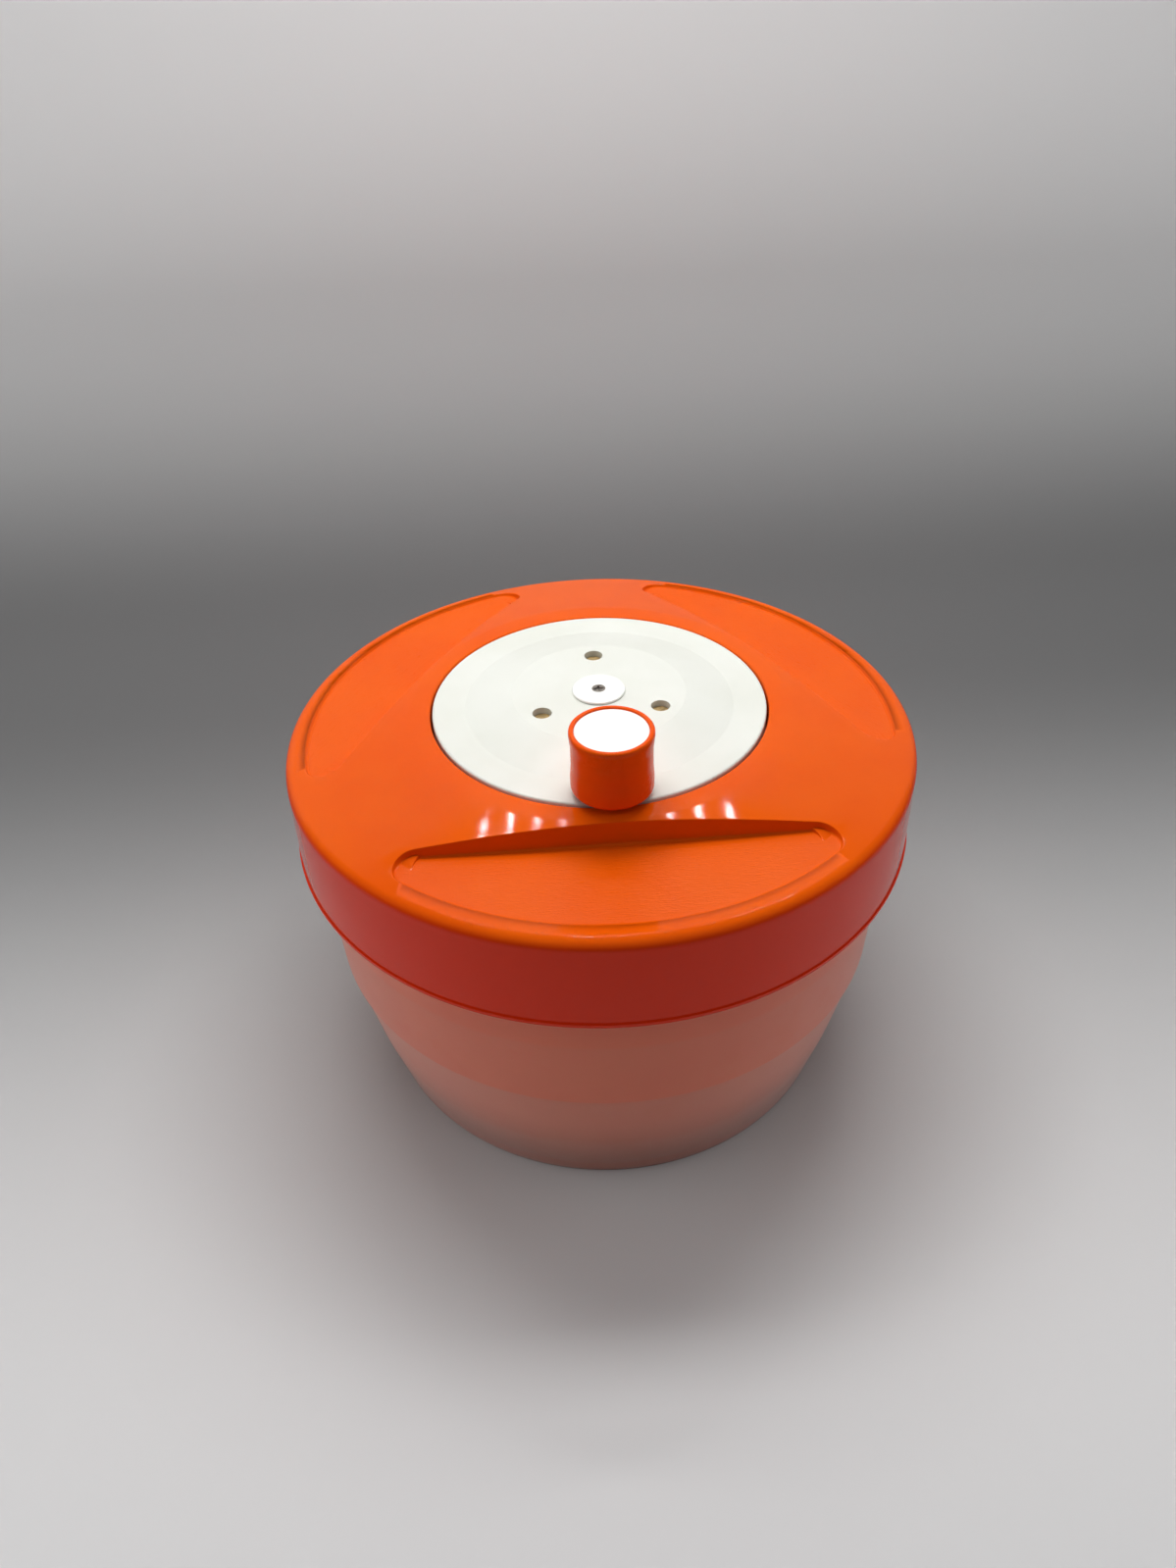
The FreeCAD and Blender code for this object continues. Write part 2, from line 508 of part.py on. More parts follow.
add_circle(pin_hole_sketch, "0", "orbit", "pin_r")
spread(crank_disc, cut_down(crank_disc, "pin_hole", pin_hole_sketch, "12"), "3")
post_boss_sketch = new_sketch(crank_disc, "post_boss_outline", "XY_Plane", "disc_skirt_low")
add_circle(post_boss_sketch, "0", "-knob_at", "post_boss_r")
raise_up(crank_disc, "post_boss", post_boss_sketch, "disc_z - disc_wall - disc_skirt_low + 0.5")
post_hole_sketch = new_sketch(crank_disc, "post_hole_outline", "XY_Plane", "disc_z + 1")
add_circle(post_hole_sketch, "0", "-knob_at", "stem_r + fit")
cut_down(crank_disc, "post_hole", post_hole_sketch, "12")

# ---------------------------------------------------------------- pieces that turn with the sun gear
thrust_washer = part_body("thrust_washer")
turn(thrust_washer, "thrust_ring", box_loop(
    "journal_r", "journal_r + thrust_width", "gear_top", "gear_top + thrust_h",
))

centre_cap = part_body("centre_cap")
turn(centre_cap, "cap_turned", [
    ("screw_r", "journal_top"), ("journal_r - 0.1", "journal_top"), ("journal_r - 0.1", "cap_low"),
    ("cap_r", "cap_low"), ("cap_r", "cap_top"), ("screw_head_r", "cap_top"), ("screw_r", "cap_top - cap_sink"),
])
soften(centre_cap, "cap_round", [("cap_r", "cap_top")], "small_round")


centre_screw = part_body("centre_screw")
turn(centre_screw, "centre_screw_turned", [
    ("0", "sun_bore_low"), ("screw_r", "sun_bore_low"), ("screw_r", "cap_top - cap_sink"),
    ("screw_head_r", "cap_top"), ("0", "cap_top"),
])
cut_down(centre_screw, "centre_cross", cross_outline(centre_screw, "cap_top", "1.7"), "0.9")

driver_plate = part_body("driver_plate")
turn(driver_plate, "plate_turned", [
    ("0", "square_low"), ("plate_hub_r", "square_low"), ("plate_hub_foot", "plate_under"),
    ("plate_r - plate_rim", "plate_under"), ("plate_r - plate_rim", "plate_edge_low"),
    ("plate_r", "plate_edge_low"), ("plate_r", "square_top"), ("0", "square_top"),
])
soften(driver_plate, "plate_round", [("plate_r", "square_top"), ("plate_hub_r", "square_low")], "rim_round")
lug_sketch = new_sketch(driver_plate, "lug_outline", "XY_Plane", "lug_low")
add_loop(lug_sketch, box_loop("plate_r - plate_rim + 0.1", "lug_out", "-lug_w / 2", "lug_w / 2"))
lug = raise_up(driver_plate, "lug", lug_sketch, "square_top - rim_round - lug_low")
spread(driver_plate, lug, "drive_count")
square_sketch = new_sketch(driver_plate, "square_outline", "XY_Plane", "square_top + 1")
add_loop(square_sketch, box_loop("-square / 2", "square / 2", "-square / 2", "square / 2"))
cut_down(driver_plate, "square_hole", square_sketch, "12")
window_sketch = new_sketch(driver_plate, "window_outline", "XY_Plane", "square_top + 1")
add_circle(window_sketch, "plate_hole_at * cos(30)", "plate_hole_at * sin(30)", "plate_hole_r")
spread(driver_plate, cut_down(driver_plate, "window", window_sketch, "6"), "drive_count")

driver_washer = part_body("driver_washer")
turn(driver_washer, "driver_washer_ring", box_loop(
    "screw_r", "driver_washer_r", "square_low - driver_washer_h", "square_low",
))

driver_screw = part_body("driver_screw")
HEAD_LOW = "square_low - driver_washer_h - driver_head_h"
turn(driver_screw, "driver_screw_turned", [
    ("0", HEAD_LOW), ("driver_head_r", HEAD_LOW), ("driver_head_r", "square_low - driver_washer_h"),
    ("screw_r", "square_low - driver_washer_h"), ("screw_r", "sun_bore_end"), ("0", "sun_bore_end"),
])
soften(driver_screw, "driver_screw_round", [("driver_head_r", HEAD_LOW)], "edge_round")
cut_down(driver_screw, "driver_cross", cross_outline(driver_screw, HEAD_LOW, "1.9"), "driver_head_h / 2", True)

# ---------------------------------------------------------------- knob
knob_post = part_body("knob_post")
turn(knob_post, "post_turned", [
    ("0", "stem_low"), ("stem_r + stem_foot", "stem_low"), ("stem_r + stem_foot", "disc_skirt_low"),
    ("stem_r", "disc_skirt_low"), ("stem_r", "disc_z"), ("post_r", "disc_z"), ("post_r", "post_top"),
    ("screw_r", "post_top"), ("screw_r", "post_top - post_screw"), ("0", "post_top - post_screw"),
])
knob_washer = part_body("knob_washer")
turn(knob_washer, "knob_washer_ring", box_loop("post_r", "knob_washer_r", "disc_z", "knob_low - knob_gap"))
knob_screw = part_body("knob_screw")
HEAD_TOP = "post_top + knob_screw_head_h"
turn(knob_screw, "knob_screw_turned", [
    ("0", "post_top - post_screw"), ("screw_r", "post_top - post_screw"), ("screw_r", "post_top"),
    ("knob_screw_head_r", "post_top"), ("knob_screw_head_r", HEAD_TOP), ("0", HEAD_TOP),
])
soften(knob_screw, "knob_screw_round", [("knob_screw_head_r", HEAD_TOP)], "rim_round")
cut_down(knob_screw, "knob_cross", cross_outline(knob_screw, HEAD_TOP, "2.2"), "knob_screw_head_h / 2")
knob_sleeve = part_body("knob_sleeve")
turn(knob_sleeve, "sleeve_turned", [
    ("post_r + fit", "knob_low"), ("knob_bore_r", "knob_low"), ("knob_bore_r", "knob_low + knob_bore_h"),
    ("knob_r - 2.4", "knob_low + knob_bore_h"), ("knob_r - 2.8", "knob_low"), ("knob_r - knob_foot", "knob_low"),
    ("knob_r", "knob_low + 3"), ("knob_r", "knob_low + 4.5"), ("knob_r - knob_waist", "knob_low + 9.5"),
    ("knob_r - knob_waist", "knob_top - 6.5"), ("knob_r", "knob_top - 2.4"), ("knob_r", "knob_top"),
    ("knob_cap_r", "knob_top"), ("knob_cap_r", "knob_cap_low"), ("knob_rest_r", "knob_cap_low"),
    ("knob_rest_r", "knob_shelf"), ("post_r + fit", "knob_shelf"),
])
soften(knob_sleeve, "sleeve_top_round", [("knob_r", "knob_top")], "rim_round")
soften(knob_sleeve, "sleeve_small_edges", [
    ("knob_r - knob_foot", "knob_low"), ("knob_r", "knob_low + 3"), ("knob_cap_r", "knob_top"),
], "fine_round")
knob_cap = part_body("knob_cap")
turn(knob_cap, "knob_cap_turned", box_loop("0", "knob_cap_r", "knob_cap_low", "knob_cap_top"))
soften(knob_cap, "knob_cap_round", [("knob_cap_r", "knob_cap_top")], "small_round")
for piece in (knob_post, knob_washer, knob_screw, knob_sleeve, knob_cap):
    move_body(piece, "0", "-knob_at")
doc.recompute()

# ---------------------------------------------------------------- check and write
NODES = [
    "bowl", "pivot_pin", "basket_bush", "basket", "lid", "ring_gear", "ring_gear_screws", "crank_disc",
    "planet_pin_1", "planet_pin_2", "planet_pin_3", "planet_gear_1", "planet_gear_2", "planet_gear_3",
    "sun_gear", "thrust_washer", "centre_cap", "centre_screw", "driver_plate", "driver_washer", "driver_screw",
    "knob_post", "knob_washer", "knob_screw", "knob_sleeve", "knob_cap",
]
for item in doc.Objects:
    if "Invalid" in item.State or "Error" in item.State:
        raise RuntimeError("%s did not compute: %s" % (item.Name, item.State))
for name in NODES:
    shape = doc.getObject(name).Shape
    if shape.isNull() or not shape.isValid() or shape.Volume <= 0:
        raise RuntimeError(name + " has no sound shape")
    shape.exportStep("parts/%s.step" % name)
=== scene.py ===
import math

import bmesh
import bpy
import numpy as np
from mathutils import Matrix, Vector


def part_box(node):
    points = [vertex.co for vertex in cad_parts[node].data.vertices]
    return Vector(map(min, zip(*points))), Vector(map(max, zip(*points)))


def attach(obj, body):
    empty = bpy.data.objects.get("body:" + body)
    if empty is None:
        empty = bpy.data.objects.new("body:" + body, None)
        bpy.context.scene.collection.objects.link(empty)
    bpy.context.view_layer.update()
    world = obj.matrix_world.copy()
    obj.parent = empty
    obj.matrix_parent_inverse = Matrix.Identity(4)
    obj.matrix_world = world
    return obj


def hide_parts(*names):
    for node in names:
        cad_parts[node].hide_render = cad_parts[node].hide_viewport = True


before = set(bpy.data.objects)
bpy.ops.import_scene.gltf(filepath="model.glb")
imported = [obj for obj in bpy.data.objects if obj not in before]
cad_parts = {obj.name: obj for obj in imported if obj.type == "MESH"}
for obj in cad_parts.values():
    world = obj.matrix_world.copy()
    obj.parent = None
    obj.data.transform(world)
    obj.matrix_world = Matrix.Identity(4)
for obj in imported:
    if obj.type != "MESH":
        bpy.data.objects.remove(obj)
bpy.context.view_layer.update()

MM = 0.001
TAU = 2 * math.pi

# ------------------------------------------------------------------ sizes, in millimetres
# Radii and heights that the CAD nodes give directly.


def node_size(node):
    """(outer radius, lowest height, highest height) of a round CAD node, in millimetres."""
    low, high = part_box(node)
    return (high.x - low.x) / 2 / MM, low.z / MM, high.z / MM


LIP_R, SKIRT_LOW, LID_TOP = node_size("lid")
BEAD_R, _, BOWL_TOP = node_size("bowl")
_, BASKET_LOW, BASKET_TOP = node_size("basket")
DISC_R = node_size("crank_disc")[0]
KNOB_R, KNOB_LOW, KNOB_TOP = node_size("knob_sleeve")
KNOB_CAP_R, KNOB_CAP_LOW, KNOB_CAP_TOP = node_size("knob_cap")
KNOB_Y = (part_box("knob_sleeve")[0].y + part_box("knob_sleeve")[1].y) / 2 / MM

# Lid: the flat ledge round the disc, the cone outside it and the rim.
WALL = 2.5
LEDGE_IN, LEDGE_OUT = DISC_R + 0.85, 74.0
RIM_R, RIM_Z, RIM_ROUND = LIP_R - 0.8, LID_TOP - 10.7, 4.0
WELL_FLOOR = LID_TOP - 13.0
CONE_FALL = (LID_TOP - RIM_Z) / (RIM_R - LEDGE_OUT)
SEAT_Z = WELL_FLOOR + 0.5
HUB_BORE_R, HUB_R, HUB_LOW = 6.05, 10.0, 146.0
SEAT_R, SEAT_STEP_R, SEAT_STEP_Z = 115.5, 113.0, 147.0

# Heights where the bowl steps in and where the basket's wide band starts.
LEDGE_Z, BAND_Z = 64.0, 98.0

# Lid: three finger recesses, each cut off by a straight wall and a circle on the lid's axis.
RECESS_TURNS = np.radians([-90.0, 30.0, 150.0])
RECESS_FLOOR = LID_TOP - 9.9
RECESS = {"chord": 75.0, "arc": 115.7, "corner": 7.4}
PAN = {"chord": 72.5, "arc": 111.5, "corner": 9.0}
CORNER_STEPS, SIDE_STEPS, GAP_STEPS = 9, 64, 14


# ------------------------------------------------------------------ mesh helpers
def grid_faces(rows, columns, start=0, close_rows=False, close_columns=False):
    """Quads between neighbouring points of a grid numbered row by row, wrapped round where asked."""
    i = np.arange(rows if close_rows else rows - 1)[:, None]
    j = np.arange(columns if close_columns else columns - 1)[None, :]
    i2, j2 = (i + 1) % rows, (j + 1) % columns
    quads = np.stack([i * columns + j, i * columns + j2, i2 * columns + j2, i2 * columns + j], axis=-1)
    return quads.reshape(-1, 4) + start


class Shape:
    """Patches of points gathered into one mesh: each patch is a grid of points, with a material number."""

    def __init__(self):
        self.points, self.quads, self.finish, self.maps = [], [], [], []
        self.count = 0

    def add(self, grid, close_rows=False, close_columns=False, finish=0, flat_map=None):
        rows, columns = grid.shape[:2]
        quads = grid_faces(rows, columns, self.count, close_rows, close_columns)
        self.points.append(grid.reshape(-1, 3))
        self.quads.append(quads)
        self.finish.append(np.full(len(quads), finish))
        self.maps.append(np.zeros((rows * columns, 2)) if flat_map is None else flat_map.reshape(-1, 2))
        self.count += rows * columns
        return self

    def build(self, name, materials, mapped=False):
        """Mesh object in metres: doubled points merged, faces turned outward, smooth all over."""
        points, quads = np.concatenate(self.points), np.concatenate(self.quads)
        mesh = bpy.data.meshes.new(name)
        mesh.from_pydata(points * MM, [], quads.tolist())
        for material in materials:
            mesh.materials.append(material)
        mesh.polygons.foreach_set("material_index", np.concatenate(self.finish).astype(np.int32))
        if mapped:
            layer = mesh.uv_layers.new(name="grip")
            corner = np.empty(len(mesh.loops), dtype=np.int32)
            mesh.loops.foreach_get("vertex_index", corner)
            layer.uv.foreach_set("vector", np.concatenate(self.maps)[corner].ravel().astype(np.float32))
        work = bmesh.new()
        work.from_mesh(mesh)
        bmesh.ops.remove_doubles(work, verts=work.verts, dist=2e-6)
        bmesh.ops.recalc_face_normals(work, faces=work.faces)
        for face in work.faces:
            face.smooth = True
        work.to_mesh(mesh)
        work.free()
        piece = bpy.data.objects.new(name, mesh)
        bpy.context.scene.collection.objects.link(piece)
        return piece


def rounded_path(corners, steps=6, hold=0.25, closed=True):
    """Path through (radius, height, rounding) corners. A rounded corner becomes the arc of its rounding
    radius that touches both sides, and each straight side gets a point close to each of its ends."""
    spots = np.array([c[:2] for c in corners], dtype=float)
    pieces = []
    for i, (here, rounding) in enumerate(zip(spots, [c[2] for c in corners])):
        if not closed and i in (0, len(spots) - 1):
            pieces.append(here[None, :])
            continue
        before, after = spots[i - 1], spots[(i + 1) % len(spots)]
        u, v = before - here, after - here
        long_u, long_v = np.linalg.norm(u), np.linalg.norm(v)
        u, v = u / long_u, v / long_v
        half = math.acos(np.clip(u @ v, -1, 1)) / 2
        reach = min(rounding / math.tan(half), 0.48 * long_u, 0.48 * long_v)
        radius = reach * math.tan(half)
        middle = here + (u + v) / np.linalg.norm(u + v) * radius / math.sin(half)
        a, b = here + u * reach - middle, here + v * reach - middle
        sweep = math.pi - 2 * half
        k = np.linspace(0, 1, steps)[:, None]
        arc = middle + (np.sin((1 - k) * sweep) * a + np.sin(k * sweep) * b) / math.sin(sweep)
        lead_u = min(reach + hold, 0.49 * long_u)
        lead_v = min(reach + hold, 0.49 * long_v)
        pieces.append(np.concatenate([(here + u * lead_u)[None], arc, (here + v * lead_v)[None]]))
    return np.concatenate(pieces)


def swept_round(path, columns=192, centre=(0.0, 0.0)):
    """Surface of revolution: (r cos a, r sin a, z) for each path point (r, z) and each angle a."""
    angles = np.arange(columns) * TAU / columns
    r, z = path[:, 0][:, None], path[:, 1][:, None]
    x, y = centre[0] + r * np.cos(angles), centre[1] + r * np.sin(angles)
    return np.stack([x, y, z + 0 * angles], axis=-1)


def turned(corners, columns=192, centre=(0.0, 0.0), steps=6):
    """Closed turned solid from its rounded outline."""
    return Shape().add(swept_round(rounded_path(corners, steps), columns, centre), True, True)


# ------------------------------------------------------------------ materials
def new_group(name, inputs, outputs):
    """Empty shader node group with the given sockets; returns it and its two end nodes."""
    group = bpy.data.node_groups.new(name, "ShaderNodeTree")
    for label, kind, value in inputs:
        socket = group.interface.new_socket(label, in_out="INPUT", socket_type=kind)
        socket.default_value = value
    for label, kind in outputs:
        group.interface.new_socket(label, in_out="OUTPUT", socket_type=kind)
    return group, group.nodes.new("NodeGroupInput"), group.nodes.new("NodeGroupOutput")


def node(tree, kind, links=None, **settings):
    """New node with its properties set, and its inputs linked or filled from a dict."""
    item = tree.nodes.new(kind)
    for key, value in settings.items():
        setattr(item, key, value)
    for key, value in (links or {}).items():
        if isinstance(value, bpy.types.NodeSocket):
            tree.links.new(value, item.inputs[key])
        else:
            item.inputs[key].default_value = value
    return item


def math_node(tree, operation, a, b=0.0, c=0.0, clamp=False):
    """Output of a math node on up to three numbers or sockets."""
    return node(tree, "ShaderNodeMath", {0: a, 1: b, 2: c}, operation=operation, use_clamp=clamp).outputs[0]


def ramp(tree, value, low, high, out_low=0.0, out_high=1.0):
    """Value eased from out_low to out_high as the input goes from low to high."""
    return node(
        tree, "ShaderNodeMapRange",
        {"Value": value, "From Min": low, "From Max": high, "To Min": out_low, "To Max": out_high},
        interpolation_type="SMOOTHSTEP",
    ).outputs["Result"]


def noise(tree, vector, scale, detail=2.0, roughness=0.5):
    """Output of a noise texture, from 0 to 1."""
    return node(
        tree, "ShaderNodeTexNoise",
        {"Vector": vector, "Scale": scale, "Detail": detail, "Roughness": roughness},
    ).outputs[0]


def make_skin_group():
    """Moulded plastic skin: slow drift in gloss and colour, fine grain, and hair scratches."""
    group, entry, leave = new_group("moulded_skin", [
        ("Colour", "NodeSocketColor", (0.8, 0.8, 0.8, 1)),
        ("Shade", "NodeSocketColor", (0.6, 0.6, 0.6, 1)),
        ("Gloss", "NodeSocketFloat", 0.2),
        ("Wear", "NodeSocketFloat", 0.3),
        ("Grain", "NodeSocketFloat", 0.1),
    ], [("Colour", "NodeSocketColor"), ("Roughness", "NodeSocketFloat"), ("Normal", "NodeSocketVector")])
    place = node(group, "ShaderNodeTexCoord").outputs["Object"]
    drift = noise(group, place, 22.0, 3.0)
    smudge = ramp(group, noise(group, place, 60.0, 4.0, 0.6), 0.45, 0.7)
    strokes = []
    for turn, scale in ((0.4, 900.0), (-0.9, 700.0)):
        stretched = node(group, "ShaderNodeMapping", {
            "Vector": place, "Rotation": (0.3, 0.2, turn), "Scale": (0.05, 1.0, 1.0),
        }).outputs[0]
        strokes.append(ramp(group, noise(group, stretched, scale, 1.0), 0.70, 0.76))
    hair = math_node(group, "MAXIMUM", strokes[0], strokes[1])
    patchy = ramp(group, noise(group, place, 35.0, 2.0), 0.5, 0.65)
    hair = math_node(group, "MULTIPLY", math_node(group, "MULTIPLY", hair, patchy), entry.outputs["Wear"])
    colour = node(group, "ShaderNodeMix", {
        "Factor": ramp(group, drift, 0.35, 0.7), 6: entry.outputs["Colour"], 7: entry.outputs["Shade"],
    }, data_type="RGBA")
    smear = math_node(group, "MULTIPLY", entry.outputs["Wear"], 0.25)
    rough = math_node(group, "MULTIPLY_ADD", smudge, smear, entry.outputs["Gloss"])
    rough = math_node(group, "MULTIPLY_ADD", hair, 0.5, rough, clamp=True)
    grain = math_node(group, "MULTIPLY", noise(group, place, 1800.0, 2.0), entry.outputs["Grain"])
    height = math_node(group, "SUBTRACT", grain, math_node(group, "MULTIPLY", hair, 0.6))
    bump = node(group, "ShaderNodeBump", {"Height": height, "Strength": 0.25, "Distance": 0.0002})
    group.links.new(colour.outputs[2], leave.inputs["Colour"])
    group.links.new(rough, leave.inputs["Roughness"])
    group.links.new(bump.outputs[0], leave.inputs["Normal"])
    return group


def make_height_painted_shade():
    """Painted shade: colour eased toward a darker shade colour as the height goes from Start to Full."""
    group, entry, leave = new_group("height_painted_shade", [
        ("Colour", "NodeSocketColor", (0.8, 0.8, 0.8, 1)),
        ("Tint", "NodeSocketColor", (0.6, 0.6, 0.6, 1)),
        ("Start", "NodeSocketFloat", 0.0),
        ("Full", "NodeSocketFloat", 0.1),
        ("Amount", "NodeSocketFloat", 0.5),
    ], [("Colour", "NodeSocketColor")])
    place = node(group, "ShaderNodeTexCoord").outputs["Object"]
    height = node(group, "ShaderNodeSeparateXYZ", {0: place}).outputs[2]
    start, full, most = (entry.outputs[label] for label in ("Start", "Full", "Amount"))
    amount = ramp(group, height, start, full, 0.0, most)
    mix = node(group, "ShaderNodeMix", {
        "Factor": amount, 6: entry.outputs["Colour"], 7: entry.outputs["Tint"],
    }, data_type="RGBA")
    group.links.new(mix.outputs[2], leave.inputs["Colour"])
    return group


SKIN = make_skin_group()
HEIGHT_PAINTED_SHADE = make_height_painted_shade()


def paint_shade_by_height(material, colour, start, full, amount):
    """Puts the painted height shade between a material's colour and its shader; heights in millimetres."""
    tree = material.node_tree
    shader = tree.nodes["Principled BSDF"]
    painted_shade_colour = node(tree, "ShaderNodeGroup", {
        "Colour": shader.inputs["Base Color"].links[0].from_socket, "Tint": (*colour, 1),
        "Start": start * MM, "Full": full * MM, "Amount": amount,
    }, node_tree=HEIGHT_PAINTED_SHADE)
    tree.links.new(painted_shade_colour.outputs[0], shader.inputs["Base Color"])


def plastic(
    name, colour, shade, gloss=0.2, wear=0.3, grain=0.1, translucence=0.0, glow_reach=0.004, mirror=0.5,
):
    """Principled plastic fed by the moulded skin group."""
    material = bpy.data.materials.new(name)
    material.use_nodes = True
    tree = material.node_tree
    shader = tree.nodes["Principled BSDF"]
    skin = node(tree, "ShaderNodeGroup", node_tree=SKIN)
    skin.inputs["Colour"].default_value = (*colour, 1)
    skin.inputs["Shade"].default_value = (*shade, 1)
    skin.inputs["Gloss"].default_value = gloss
    skin.inputs["Wear"].default_value = wear
    skin.inputs["Grain"].default_value = grain
    tree.links.new(skin.outputs["Colour"], shader.inputs["Base Color"])
    tree.links.new(skin.outputs["Roughness"], shader.inputs["Roughness"])
    tree.links.new(skin.outputs["Normal"], shader.inputs["Normal"])
    shader.inputs["IOR"].default_value = 1.5
    shader.inputs["Specular IOR Level"].default_value = mirror
    shader.inputs["Subsurface Weight"].default_value = translucence
    shader.inputs["Subsurface Radius"].default_value = (1.0, 0.35, 0.2)
    shader.inputs["Subsurface Scale"].default_value = glow_reach
    return material


def metal(name, colour, rough, streak, polish=1.0):
    """Worn metal: colour with darker tarnish, and patches of duller and brighter surface."""
    material = bpy.data.materials.new(name)
    material.use_nodes = True
    tree = material.node_tree
    shader = tree.nodes["Principled BSDF"]
    place = node(tree, "ShaderNodeTexCoord").outputs["Object"]
    tarnish = ramp(tree, noise(tree, place, 420.0, 4.0, 0.6), 0.35, 0.7)
    mix = node(tree, "ShaderNodeMix", {
        "Factor": tarnish, 6: (*colour, 1), 7: (*[c * 0.55 for c in colour], 1),
    }, data_type="RGBA")
    tree.links.new(mix.outputs[2], shader.inputs["Base Color"])
    patches = noise(tree, place, streak, 3.0)
    tree.links.new(ramp(tree, patches, 0.3, 0.8, rough - 0.08, rough + 0.15), shader.inputs["Roughness"])
    shader.inputs["Metallic"].default_value = polish
    return material


ORANGE = (0.80, 0.104, 0.002)
ORANGE_DEEP = (0.77, 0.090, 0.002)
# painted shade: deeper orange for the skirt below the rim, where it turns away from the light
SKIRT_PAINTED_SHADE = (0.80, 0.030, 0.001)
WHITE = (0.78, 0.79, 0.73)
WHITE_DEEP = (0.74, 0.75, 0.68)

lid_orange = plastic(
    "orange_lid_plastic", ORANGE, ORANGE_DEEP, gloss=0.05, wear=0.2, grain=0.03, mirror=0.15,
)
knob_orange = plastic(
    "orange_knob_plastic", (0.88, 0.085, 0.005), ORANGE_DEEP, gloss=0.22, wear=0.3, grain=0.05, mirror=0.12,
)
basket_orange = plastic(
    "orange_basket_plastic", (0.82, 0.12, 0.015), ORANGE_DEEP, gloss=0.32, wear=0.3, grain=0.1,
)
disc_white = plastic("white_disc_plastic", WHITE, WHITE_DEEP, gloss=0.28, wear=0.6, grain=0.25)
cap_white = plastic(
    "white_cap_plastic", (0.95, 0.95, 0.91), (0.93, 0.93, 0.88), gloss=0.2, wear=0.4, grain=0.1,
)
gear_white = plastic(
    "natural_gear_plastic", (0.78, 0.76, 0.66), (0.70, 0.67, 0.56), gloss=0.4, wear=0.2, grain=0.2,
)
brass = metal("pin_brass", (0.62, 0.43, 0.19), 0.42, 500.0, polish=0.45)
steel = metal("screw_steel", (0.42, 0.38, 0.33), 0.35, 900.0)


def grip_finish():
    """Brushed floor of the recesses: fine lines along the straight wall, from the piece's own map."""
    material = lid_orange.copy()
    material.name = "orange_lid_brushed"
    tree = material.node_tree
    shader = tree.nodes["Principled BSDF"]
    flat = node(tree, "ShaderNodeUVMap", uv_map="grip").outputs[0]
    heights = 0.0
    for along, across, weight in ((0.25, 1.3, 0.6), (0.6, 2.6, 0.4)):
        stretched = node(tree, "ShaderNodeMapping", {"Vector": flat, "Scale": (along, across, 1.0)})
        lines = noise(tree, stretched.outputs[0], 1.0, 2.0, 0.6)
        heights = math_node(tree, "MULTIPLY_ADD", lines, weight, heights)
    bump = node(tree, "ShaderNodeBump", {"Height": heights, "Strength": 0.8, "Distance": 0.00030})
    tree.links.new(bump.outputs[0], shader.inputs["Normal"])
    tree.links.new(ramp(tree, heights, 0.3, 0.7, 0.26, 0.38), shader.inputs["Roughness"])
    return material


def frosted_with_painted_glow():
    """Milky plastic with a painted warm glow of the orange basket standing close behind it, eased to milk
    by height where the basket stands away.
    """
    # the salmon colours are painted glow of the orange basket seen through the wall
    material = plastic(
        "frosted_bowl_painted_glow", (0.95, 0.20, 0.095), (0.92, 0.18, 0.085), gloss=0.42, wear=0.3, grain=0.3,
        translucence=0.3, glow_reach=0.003,
    )
    tree = material.node_tree
    shader = tree.nodes["Principled BSDF"]
    skin = next(item for item in tree.nodes if item.type == "GROUP")
    place = node(tree, "ShaderNodeTexCoord").outputs["Object"]
    height = node(tree, "ShaderNodeSeparateXYZ", {0: place}).outputs[2]
    # painted glow: fades to milk above the basket, and a little below its wide band and below the bowl's
    # ledge; kept warm at the foot
    glow_fade = 0.0
    for start, full, amount in (
        (LEDGE_Z + 2, LEDGE_Z - 4, 0.14),
        (BAND_Z, BAND_Z - 3, 0.07),
        (BASKET_TOP - 2, BASKET_TOP + 3, 0.6),
    ):
        glow_fade = math_node(tree, "ADD", glow_fade, ramp(tree, height, start * MM, full * MM, 0.0, amount))
    foot = ramp(tree, height, (BASKET_LOW - 8) * MM, (BASKET_LOW - 4) * MM)
    glow_fade = math_node(tree, "MULTIPLY", glow_fade, foot)
    milk = node(tree, "ShaderNodeMix", {
        "Factor": glow_fade, 6: skin.outputs["Colour"], 7: (0.50, 0.45, 0.36, 1),
    }, data_type="RGBA")
    tree.links.new(milk.outputs[2], shader.inputs["Base Color"])
    shader.inputs["Transmission Weight"].default_value = 0.12
    shader.inputs["Sheen Weight"].default_value = 0.4
    shader.inputs["Sheen Roughness"].default_value = 0.45
    shader.inputs["IOR"].default_value = 1.4
    return material


lid_grip = grip_finish()
bowl_frost = frosted_with_painted_glow()
# painted shade: the lid eases to the deeper skirt orange below the rim
paint_shade_by_height(lid_orange, SKIRT_PAINTED_SHADE, RIM_Z + 0.6, RIM_Z - 3.0, 1.0)
# painted shade: the bowl darkens toward its foot
paint_shade_by_height(bowl_frost, (0.26, 0.09, 0.045), 50.0, 4.0, 0.6)


# ------------------------------------------------------------------ lid
def lid_height(r):
    """Top face of the lid: flat out to the ledge's edge, then a cone falling to the rim."""
    return LID_TOP - np.maximum(r - LEDGE_OUT, 0) * CONE_FALL


